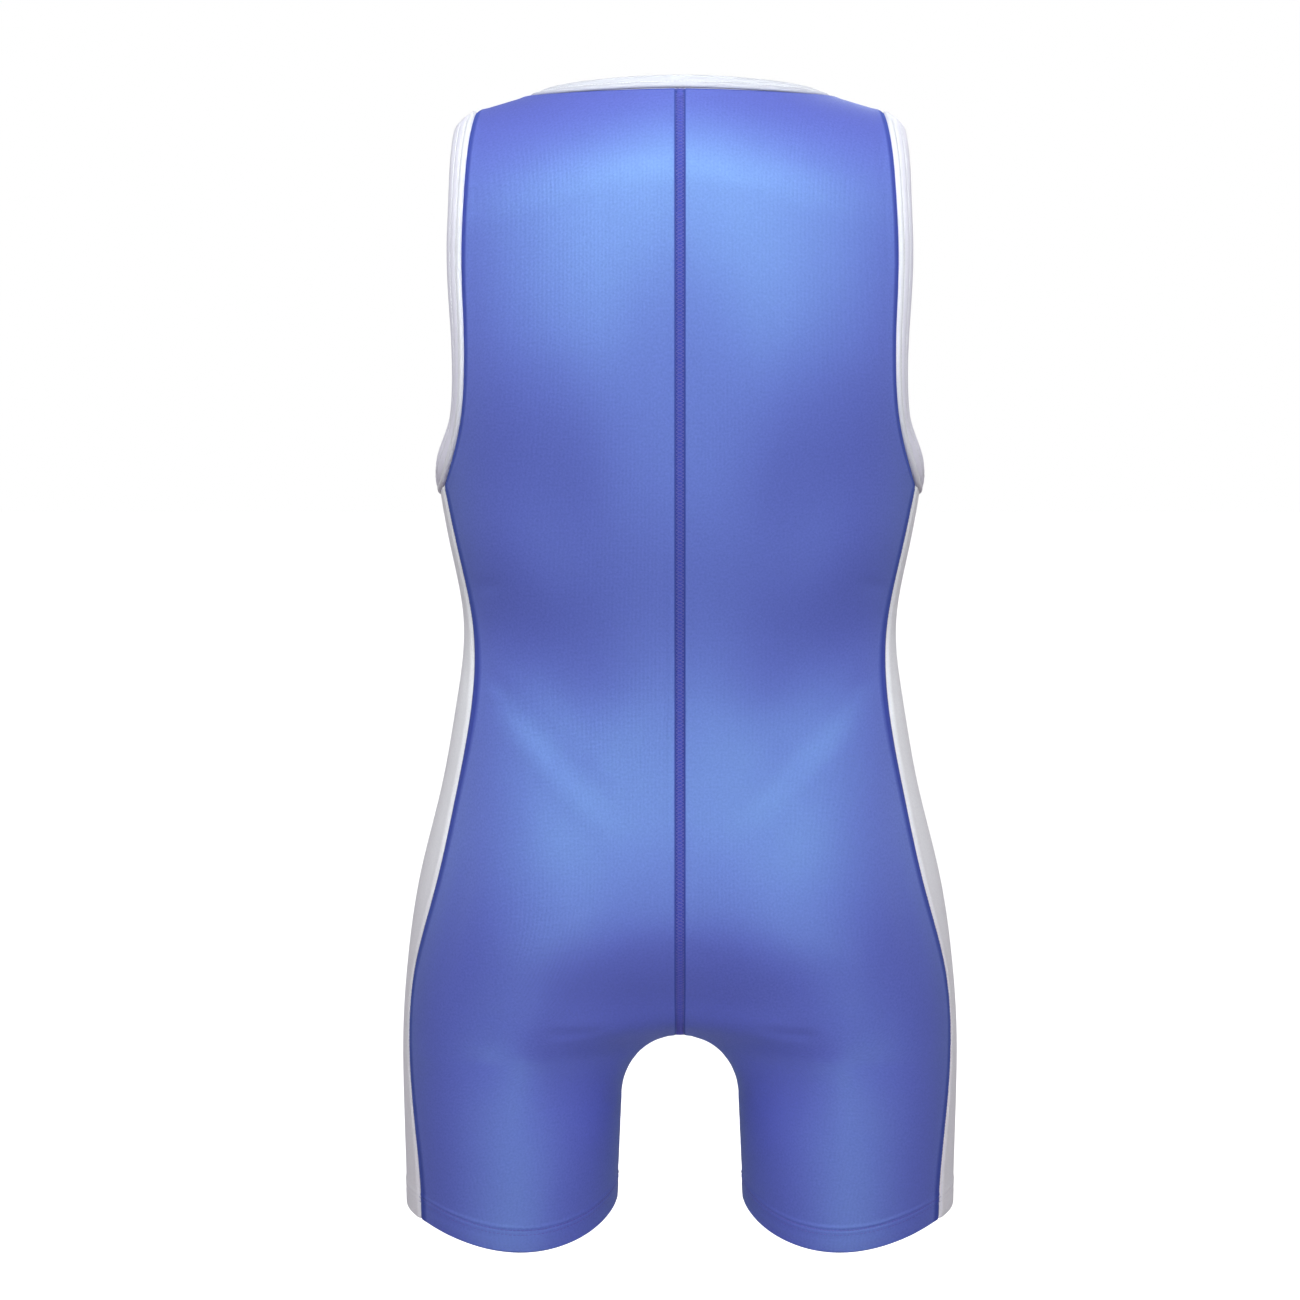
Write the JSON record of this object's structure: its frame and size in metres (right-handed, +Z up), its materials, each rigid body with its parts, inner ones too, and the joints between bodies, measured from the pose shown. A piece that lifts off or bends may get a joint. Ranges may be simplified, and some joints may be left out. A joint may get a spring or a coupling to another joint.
{
  "type": "athletic singlet",
  "caption": "One-piece sleeveless sports singlet with short legs, filled out as worn, with white side panels and bound neck and armholes.",
  "frame": {"origin": "middle of the shoulders, between the two straps and level with where the wearer's shoulders carry them", "axes": "+Z up, the back faces -Y, the front faces +Y, +X towards the wearer's right"},
  "size_m": [0.394, 0.2309, 0.7974],
  "materials": {
    "blue_knit": "matte satin stretch knit",
    "white_knit": "matte satin stretch knit",
    "white_binding": "folded stretch knit binding"
  },
  "bodies": {
    "root": {"back_left": "blue_knit", "back_right": "blue_knit", "front": "blue_knit", "side_left": "white_knit", "side_right": "white_knit", "neck_binding": "white_binding", "armhole_binding_left": "white_binding", "armhole_binding_right": "white_binding"}
  },
  "joints": []
}
